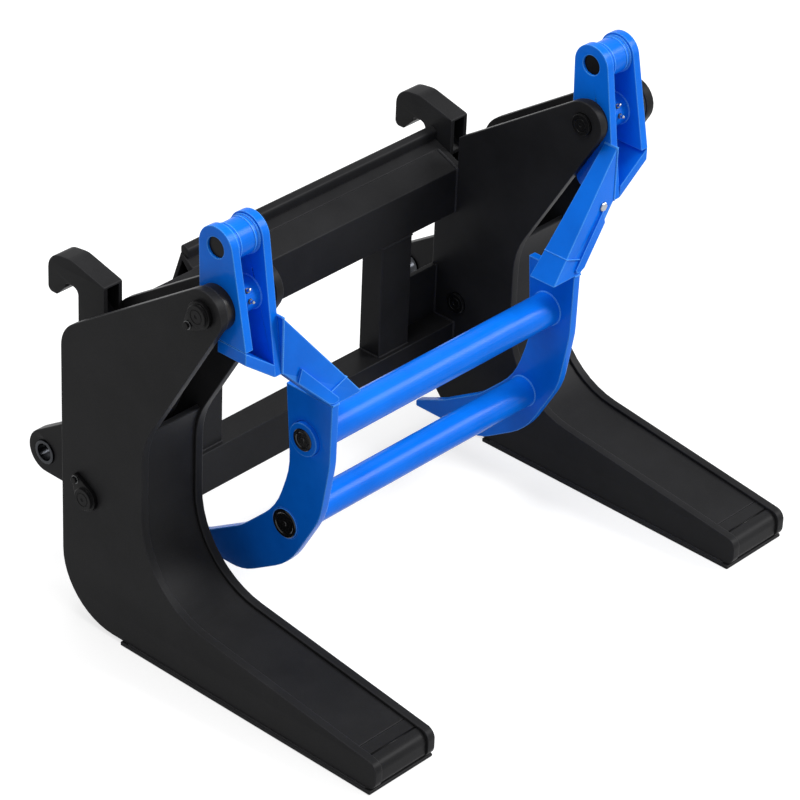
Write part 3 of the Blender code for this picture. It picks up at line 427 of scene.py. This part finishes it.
def turnedMesh(name, outline, centre, axis, steps):
    # Outline as (radius, distance along the axis): a solid if it starts on the axis, a ring if not.
    work = bmesh.new()
    spin = axis.to_track_quat("Z", "Y").to_matrix()
    rings = []
    for radius, along in outline:
        spots = [onCircle(radius, k, steps, along) for k in range(steps if radius else 1)]
        rings.append([work.verts.new(centre + spin @ spot) for spot in spots])
    if outline[0][0] > 0:
        rings.append(rings[0])
    for low, high in zip(rings, rings[1:]):
        for k in range(steps):
            a, b = low[k % len(low)], low[(k + 1) % len(low)]
            c, d = high[(k + 1) % len(high)], high[k % len(high)]
            corners = [v for i, v in enumerate((a, b, c, d)) if v not in (a, b, c, d)[:i]]
            if len(corners) > 2:
                work.faces.new(corners)
    bmesh.ops.recalc_face_normals(work, faces=work.faces)
    return meshOf(work, name)


def addTurned(name, shape, centre, axis, finish, body):
    # A shape gives its outline, the steps round it and the angle from which an edge stays sharp.
    mesh = turnedMesh(name, shape["outline"], centre, axis, shape["steps"])
    mesh.set_sharp_from_angle(angle=math.radians(shape["sharp"]))
    return addPiece(name, mesh, finish, body)


# A fillet weld: a rippled bead that wanders a little; the ripples are drawn wide, so that they show.
weld = {
    "ripple": 0.0045, "step": 0.0009, "lift": 0.16, "wander": 0.05, "carry": 0.9, "end": 0.35, "sides": 8,
    "off": 0.0003,     # how far a bead's middle lies off a face
}
# Radius of each kind of bead, and the seed of its wander.
beads = {
    "beamWelds": (0.0032, 3), "postWelds": (0.0026, 5), "bossWelds": (0.0026, 7),
    "sleeveWelds": (0.0024, 11), "tubeWelds": (0.0024, 13), "armWelds": (0.0026, 17),
    "armJoint": (0.0015, 19), "soleWelds": (0.0024, 23), "earWelds": (0.0030, 29),
}


def weldSpots(line, closed):
    spots = []
    for a, b in zip(line, line[1:] + line[:1] if closed else line[1:]):
        count = max(1, round((b - a).length / weld["step"]))
        spots += [a.lerp(b, k / count) for k in range(count)]
    return spots if closed else spots + [line[-1]]


def weldMesh(name, runs, radius, seed):
    rng = random.Random(seed)
    work = bmesh.new()
    n = weld["sides"]
    for line, closed in runs:
        spots = weldSpots(line, closed)
        last = len(spots) - 1
        loops = []
        travelled = 0.0
        wander = 0.0
        for i, spot in enumerate(spots):
            before = spots[i - 1] if i or closed else spot
            after = spots[(i + 1) % len(spots)] if i < last or closed else spot
            travelled += weld["step"]
            wander = weld["carry"] * wander + (1 - weld["carry"]) * rng.uniform(-1, 1)
            phase = (travelled % weld["ripple"]) / weld["ripple"]
            ripple = abs(math.sin(math.pi * phase)) - 0.5
            size = radius * (1 + weld["lift"] * ripple + weld["wander"] * wander)
            if not closed and i in (0, last):
                size *= weld["end"]
            spin = (after - before).normalized().to_track_quat("Z", "Y").to_matrix()
            loops.append([work.verts.new(spot + spin @ onCircle(size, k, n)) for k in range(n)])
        pairs = list(zip(loops, loops[1:])) + ([(loops[-1], loops[0])] if closed else [])
        for low, high in pairs:
            # start each band at the nearest corners, so that it doesn't twist
            offset = min(range(n), key=lambda k: (high[k].co - low[0].co).length)
            for k in range(n):
                work.faces.new((low[k], low[(k + 1) % n], high[(k + 1 + offset) % n], high[(k + offset) % n]))
        if not closed:
            work.faces.new(list(reversed(loops[0])))
            work.faces.new(loops[-1])
    bmesh.ops.recalc_face_normals(work, faces=work.faces)
    return meshOf(work, name)


def addWelds(word, kind, runs, finish, body):
    name = word + kind[0].upper() + kind[1:]
    addPiece(name, weldMesh(name, runs, *beads[kind]), finish, body)


def ringLine(side, depth, centre, radius, steps=40):
    around = [onCircle(radius, k, steps) for k in range(steps)]
    return [at(side, depth, centre[0] + spot.x, centre[1] + spot.y) for spot in around]


# Seams as forward and height on an arm's inner face; the posts' depths count from that face.
frameSeams = {
    "upperBeam": [(0.0602, 0.547), (0.0602, 0.657), (0.001, 0.6825)],
    "lowerBeam": [(0.0722, 0.166), (0.0722, 0.2682), (0.001, 0.2682)],
    "rearWeb": [(0.0125, 0.270), (0.0125, 0.395)],
    "postDepths": (0.140, 0.235), "postHeights": (0.2682, 0.547), "postFront": 0.0602,
    "postSides": (0.002, 0.058),
}


def buildFrameWelds():
    wall = arm["width"]
    depths = [wall + depth for depth in frameSeams["postDepths"]]
    heights = frameSeams["postHeights"]
    for side, word in sides:
        beams = [([at(side, wall, *spot) for spot in frameSeams[seam]], False)
                 for seam in ("upperBeam", "lowerBeam", "rearWeb")]
        addWelds(word, "beamWelds", beams, "blackPowderCoat", "frame")
        fronts = [([at(side, depth, frameSeams["postFront"], height) for depth in depths], False)
                  for height in heights]
        flanks = [([at(side, depth, forward, height) for forward in frameSeams["postSides"]], False)
                  for height in heights for depth in depths]
        addWelds(word, "postWelds", fronts + flanks, "blackPowderCoat", "frame")
        boss = ringLine(side, arm["plate"] + weld["off"], arm["pivot"], arm["boss"])
        addWelds(word, "bossWelds", [(boss, True)], "blackPowderCoat", "frame")


def buildClampWelds():
    near, far = clamp["cheekOuter"] + clamp["cheek"], clamp["cheekInner"] - clamp["cheek"]
    armTop = [(clamp["armFront"], clamp["armLow"]), (clamp["armFront"], clamp["armHigh"]),
              (clamp["armRear"], clamp["armHigh"])]
    for side, word in sides:
        sleeves = [(ringLine(side, depth, arm["pivot"], clamp["sleeve"]), True) for depth in (near, far)]
        addWelds(word, "sleeveWelds", sleeves, "blueEnamel", "clamp")
        inner = clamp["curved"][1]
        rings = [(ringLine(side, inner, clamp[tube][:2], clamp[tube][2]), True) for tube in tubes]
        addWelds(word, "tubeWelds", rings, "blueEnamel", "clamp")
        seams = [([at(side, clamp["cheekInner"], *spot) for spot in armTop], False),
                 ([at(side, depth, clamp["footFront"], clamp["foot"]) for depth in clamp["curved"]], False)]
        addWelds(word, "armWelds", seams, "blueEnamel", "clamp")


# Grease nipple, screwed into the pivot sleeve: neck with a ball head, and a hexagon round its foot.
nipple = {
    "angles": (42.0, 8.0),     # degrees above straight forward
    "sink": 0.0006,
    "neck": {"steps": 20, "sharp": 35, "outline": [
        (0, 0), (0.0028, 0), (0.0028, 0.0045), (0.00224, 0.0065), (0.0036, 0.0090), (0.003312, 0.0119),
        (0.0018, 0.0135), (0, 0.0130)]},
    "hex": {"steps": 6, "sharp": 20, "outline": [
        (0.0029, 0.0002), (0.0058, 0.0002), (0.0058, 0.0037), (0.004988, 0.0045), (0.0029, 0.0045)]},
}


def buildNipples():
    for side, word in sides:
        for number, angle in enumerate(nipple["angles"], 1):
            lean = math.radians(angle)
            run = Vector((0, -math.cos(lean), math.sin(lean)))
            foot = at(side, cylinderDepth, *arm["pivot"]) + run * (clamp["sleeve"] - nipple["sink"])
            addTurned(f"{word}Nipple{number}", nipple["neck"], foot, run, "zincPlate", "clamp")
            addTurned(f"{word}NippleHex{number}", nipple["hex"], foot, run, "dullZinc", "clamp")


# Hexagon bolt with a washer, M10 size. Its outlines are shares of the radius and the height.
bolt = {
    "corner": 0.0098, "head": 0.0062, "washer": 0.0118, "washerThick": 0.0018,
    "washerTurn": {"steps": 28, "sharp": 35}, "headTurn": {"steps": 6, "sharp": 15},
    "washerShares": [(0, 0), (0.96, 0), (1, 0.3), (1, 0.8), (0.93, 1), (0, 1)],
    "headShares": [(0, 0), (1, 0), (1, 0.82), (0.86, 1), (0.5, 1), (0, 0.94)],
}


def boltHead(name, foot, run, finish, body, scale):
    corner, high, wide, thick = (bolt[size] * scale for size in ("corner", "head", "washer", "washerThick"))
    washer = [(wide * radius, thick * along) for radius, along in bolt["washerShares"]]
    head = [(corner * radius, thick + high * along) for radius, along in bolt["headShares"]]
    addTurned(name + "Washer", dict(bolt["washerTurn"], outline=washer), foot, run, finish, body)
    addTurned(name, dict(bolt["headTurn"], outline=head), foot, run, finish, body)


# Bolts of the pins' keepers: how far out they sit, and the way and distance from the pin's middle.
keeper = {"face": 0.0106, "reach": 0.044, "Pivot": (-0.28, -0.32), "Base": (-0.32, 0.42), "scale": 0.80}


def buildKeeperBolts():
    for side, word in sides:
        out = Vector((side, 0, 0))
        for pin, (forward, height) in pins:
            off = Vector(keeper[pin]).normalized() * keeper["reach"]
            foot = at(side, -keeper["face"], forward + off.x, height + off.y)
            boltHead(f"{word}{pin}KeeperBolt", foot, out, "dullZinc", "frame", keeper["scale"])


# One bolt in the front of the right box arm, near its top.
armBolt = {"side": 1, "place": (0.190, 0.4825, 0.742), "scale": 1.15}


def buildArmBolt():
    foot = at(armBolt["side"], *armBolt["place"])
    boltHead("armBolt", foot, Vector((0, -1, 0)), "zincPlate", "clamp", armBolt["scale"])


# Turned end of a pin, this far out of the arm's faces: chamfer, shallow groove and a centre hole.
pinEnd = {
    "outerFace": 0.0134, "innerFace": 0.0041, "steps": 40, "sharp": 30, "outline": [
        (0, 0), (0.0234, 0), (0.0246, 0.0008), (0.0246, 0.0022), (0.0232, 0.0034), (0.0166, 0.0034),
        (0.0156, 0.0022), (0.0144, 0.0022), (0.0134, 0.0034), (0.0048, 0.0034), (0.0040, 0.0022),
        (0, 0.0012)],
}


def buildPinEnds():
    for side, word in sides:
        out = Vector((side, 0, 0))
        for pin, centre in pins:
            outer = at(side, -pinEnd["outerFace"], *centre)
            addTurned(f"{word}{pin}PinOuterEnd", pinEnd, outer, out, "blackOxide", "frame")
            inner = at(side, arm["width"] + pinEnd["innerFace"], *centre)
            addTurned(f"{word}{pin}PinInnerEnd", pinEnd, inner, -out, "blackOxide", "frame")


# Moulded plug pressed into a tube end: stem, rim with a rounded lip, dished face and a raised pip.
plug = {
    "clear": 0.0004, "stem": 0.010, "seat": 0.0002, "overlap": 0.0032, "inset": 0.0012,
    "rimHigh": 0.0022, "lipHigh": 0.00132, "lipRound": 0.0012, "rimInner": 0.004, "dishEdge": 0.006,
    "dish": 0.0012, "pip": 0.0045, "pipFoot": 0.0055, "steps": 40, "sharp": 30,
}


def buildTubePlugs():
    for side, word in sides:
        for tube in tubes:
            forward, height, radius, wall, proud = clamp[tube]
            bore = radius - wall - plug["clear"]
            lip = min(bore + plug["overlap"], radius - plug["inset"])
            rim, dished = plug["rimHigh"], plug["rimHigh"] - plug["dish"]
            outline = [
                (0, -plug["stem"]), (bore, -plug["stem"]), (bore, plug["seat"]), (lip, plug["seat"]),
                (lip, plug["lipHigh"]), (lip - plug["lipRound"], rim), (bore - plug["rimInner"], rim),
                (bore - plug["dishEdge"], dished), (plug["pipFoot"], dished), (plug["pip"], rim), (0, rim)]
            face = at(side, clamp["curved"][0] - proud, forward, height)
            name = f"{word}{tube[0].upper()}{tube[1:]}Plug"
            shape = dict(plug, outline=outline)
            ob = addTurned(name, shape, face, Vector((side, 0, 0)), "mouldedPlug", "clamp")
            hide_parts(f"{word}_{tube[:5]}_tube_cap")


# Corners of a box arm's front face, under and over, at its top end and its foot, and two behind them.
armDepth = clamp["cheekInner"] + weld["off"]
armFace = {
    "under": (armDepth, clamp["armFront"], clamp["armLow"]),
    "over": (armDepth, clamp["armFront"], clamp["armHigh"]),
    "footUnder": (clamp["curved"][0], clamp["footFront"], clamp["foot"]),
    "footOver": (clamp["footInner"], clamp["footFront"], clamp["foot"]),
    "rearOver": (armDepth, clamp["armRear"], clamp["armHigh"]),
    "footRear": (clamp["footInner"], clamp["footRear"], clamp["foot"]),
}
# Cover strip on that face, from and to along the arm, low and high across it, and the joint near its foot.
strip = {
    "from": 0.30, "to": 0.955, "low": 0.02, "high": 0.36, "thick": 0.004, "sink": 0.0025, "cells": (14, 4),
    "footPull": 0.045, "footPower": 3, "round": 0.0014, "roundSteps": 3, "roundAngle": 40,
    "joint": 0.80, "jointSteps": 10,
}


def armSpot(side, along, across, lift=0.0):
    low = Vector(armFace["under"]).lerp(Vector(armFace["footUnder"]), along)
    high = Vector(armFace["over"]).lerp(Vector(armFace["footOver"]), along)
    depth, forward, height = low.lerp(high, across)
    return at(side, depth, forward + lift, height)


def stripMesh(name, side):
    rows, columns = strip["cells"]
    work = bmesh.new()
    grid = []
    for i in range(rows + 1):
        along = strip["from"] + (strip["to"] - strip["from"]) * i / rows
        line = []
        for j in range(columns + 1):
            share = j / columns
            # the foot end is rounded over, the top end is cut square
            pull = strip["footPull"] * (abs(share - 0.5) * 2) ** strip["footPower"] if i == rows else 0.0
            across = strip["low"] + (strip["high"] - strip["low"]) * share
            line.append(work.verts.new(armSpot(side, along - pull, across, -strip["sink"])))
        grid.append(line)
    for i in range(rows):
        for j in range(columns):
            work.faces.new((grid[i][j], grid[i + 1][j], grid[i + 1][j + 1], grid[i][j + 1]))
    bmesh.ops.recalc_face_normals(work, faces=work.faces)
    if sum(face.normal.y for face in work.faces) > 0:
        bmesh.ops.reverse_faces(work, faces=work.faces)
    return meshOf(work, name)


def buildArmStrips():
    for side, word in sides:
        ob = addPiece(word + "ArmStrip", stripMesh(word + "ArmStrip", side), "blueEnamel", "clamp")
        thick = ob.modifiers.new("thick", "SOLIDIFY")
        thick.thickness = strip["thick"] + strip["sink"]
        thick.offset = 1.0
        soften = ob.modifiers.new("soften", "BEVEL")
        soften.width = strip["round"]
        soften.segments = strip["roundSteps"]
        soften.limit_method = "ANGLE"
        soften.angle_limit = math.radians(strip["roundAngle"])
        soften.harden_normals = True
        count = strip["jointSteps"]
        spots = [armSpot(side, strip["joint"], k / count) for k in range(count + 1)]
        back = Vector(armFace["rearOver"]).lerp(Vector(armFace["footRear"]), strip["joint"])
        addWelds(word, "armJoint", [(spots + [at(side, *back)], False)], "blueEnamel", "clamp")


# Painted shade: a thin near-black strip laid over the nose just behind its rounded tip, standing in for the
# shadow in the joint there; slope is the nose's fall towards the tip.
seam = {
    "forward": 0.868, "height": 0.0725, "slope": 0.13, "width": 0.0042, "proud": 0.0003, "thick": 0.004,
    "from": 0.0215, "to": 0.1535,
}


def buildPaintedNoseShade(side, word):
    half = seam["width"] / 2
    high = seam["height"] + seam["proud"]
    near, far = seam["from"], seam["to"]
    corners = [at(side, depth, seam["forward"] + step, high - seam["slope"] * step)
               for depth, step in ((near, -half), (near, half), (far, half), (far, -half))]
    work = bmesh.new()
    top = [work.verts.new(corner) for corner in corners]
    low = [work.verts.new(corner - Vector((0, 0, seam["thick"]))) for corner in corners]
    work.faces.new(top)
    work.faces.new(low)
    for k in range(len(corners)):
        work.faces.new((top[k - 1], top[k], low[k], low[k - 1]))
    bmesh.ops.recalc_face_normals(work, faces=work.faces)
    # the painted shade strip takes the near-black oxide finish so that it reads as shadow
    addPiece(word + "PaintedNoseShade", meshOf(work, word + "PaintedNoseShade"), "blackOxide", "frame")


# Long welds between the sole and the side plates, and upright ones beside the coupler ear.
lowWelds = {
    "soleFrom": 0.20, "soleTo": 0.880, "soleHeight": 0.0094, "soleOff": 0.0006,
    "earForward": -0.0008, "earLow": 0.225, "earHigh": 0.440, "earOff": 0.001,
}


def buildLowWelds(side, word):
    w = lowWelds
    soles = [([at(side, depth, forward, w["soleHeight"]) for forward in (w["soleFrom"], w["soleTo"])], False)
             for depth in (-w["soleOff"], arm["width"] + w["soleOff"])]
    addWelds(word, "soleWelds", soles, "blackPowderCoat", "frame")
    near, far = arm["earPlate"]
    ears = [([at(side, depth, w["earForward"], height) for height in (w["earLow"], w["earHigh"])], False)
            for depth in (near - w["earOff"], far + w["earOff"])]
    addWelds(word, "earWelds", ears, "blackPowderCoat", "frame")


# Oil ports, gland band and rod wiper of a cylinder, placed along its axis from the base eye.
cylinder = {
    "axis": (0.40866, 0.91269),     # how far it leans forward and rises
    "barrel": 0.038, "ports": (0.075, 0.425), "portSink": 0.004, "glandFrom": 0.4542, "glandTo": 0.4905,
    "port": {"steps": 32, "sharp": 35, "outline": [
        (0, 0), (0.0145, 0), (0.0131, 0.005), (0.0125, 0.0065), (0.0125, 0.014), (0.0115, 0.015),
        (0, 0.015)]},
    "screw": {"steps": 6, "sharp": 15, "outline": [
        (0, 0.015), (0.0085, 0.015), (0.0085, 0.0206), (0.00731, 0.022), (0, 0.022)]},
    "wiper": {"steps": 40, "sharp": 35, "outline": [
        (0.0186, -0.001), (0.0186, 0.004), (0.0225, 0.004), (0.0235, 0.003), (0.0235, 0), (0.0225, -0.001)]},
    "band": {"steps": 48, "sharp": 35, "outline": [
        (0.0414, 0.006), (0.0432, 0.0075), (0.0432, 0.0105), (0.0414, 0.012)]},
}


def buildCylinderParts():
    lean, rise = cylinder["axis"]
    run = Vector((0, -lean, rise)).normalized()
    back = Vector((0, rise, lean)).normalized()
    for side, word in sides:
        base = at(side, cylinderDepth, *arm["basePin"])
        body = word + "_barrel"
        for number, along in enumerate(cylinder["ports"], 1):
            foot = base + run * along + back * (cylinder["barrel"] - cylinder["portSink"])
            addTurned(f"{word}PortBoss{number}", cylinder["port"], foot, back, "blackPowderCoat", body)
            addTurned(f"{word}PortPlug{number}", cylinder["screw"], foot, back, "dullZinc", body)
        mouth = base + run * cylinder["glandTo"]
        addTurned(word + "RodWiper", cylinder["wiper"], mouth, run, "mouldedPlug", body)
        gland = base + run * cylinder["glandFrom"]
        addTurned(word + "GlandBand", cylinder["band"], gland, run, "blackPowderCoat", body)


# Two raised rings turned on each rod eye.
eyeRing = {
    "depths": (0.0765, 0.1155), "steps": 56, "sharp": 50,
    "outline": [(0.038, -0.0022), (0.0404, -0.0011), (0.0404, 0.0011), (0.038, 0.0022)],
}


def buildEyeRings():
    for side, word in sides:
        out = Vector((side, 0, 0))
        for number, depth in enumerate(eyeRing["depths"], 1):
            centre = at(side, depth, *clamp["head"])
            addTurned(f"{word}EyeRing{number}", eyeRing, centre, out, "blueEnamel", word + "_rod")


buildFrameWelds()
buildClampWelds()
buildArmStrips()
for side, word in sides:
    buildPaintedNoseShade(side, word)
    buildLowWelds(side, word)
print("welds, strips and seams laid")
buildNipples()
buildKeeperBolts()
buildPinEnds()
buildTubePlugs()
buildCylinderParts()
buildEyeRings()
buildArmBolt()
print("fittings made")
dressNodes()
print("frame dressed")
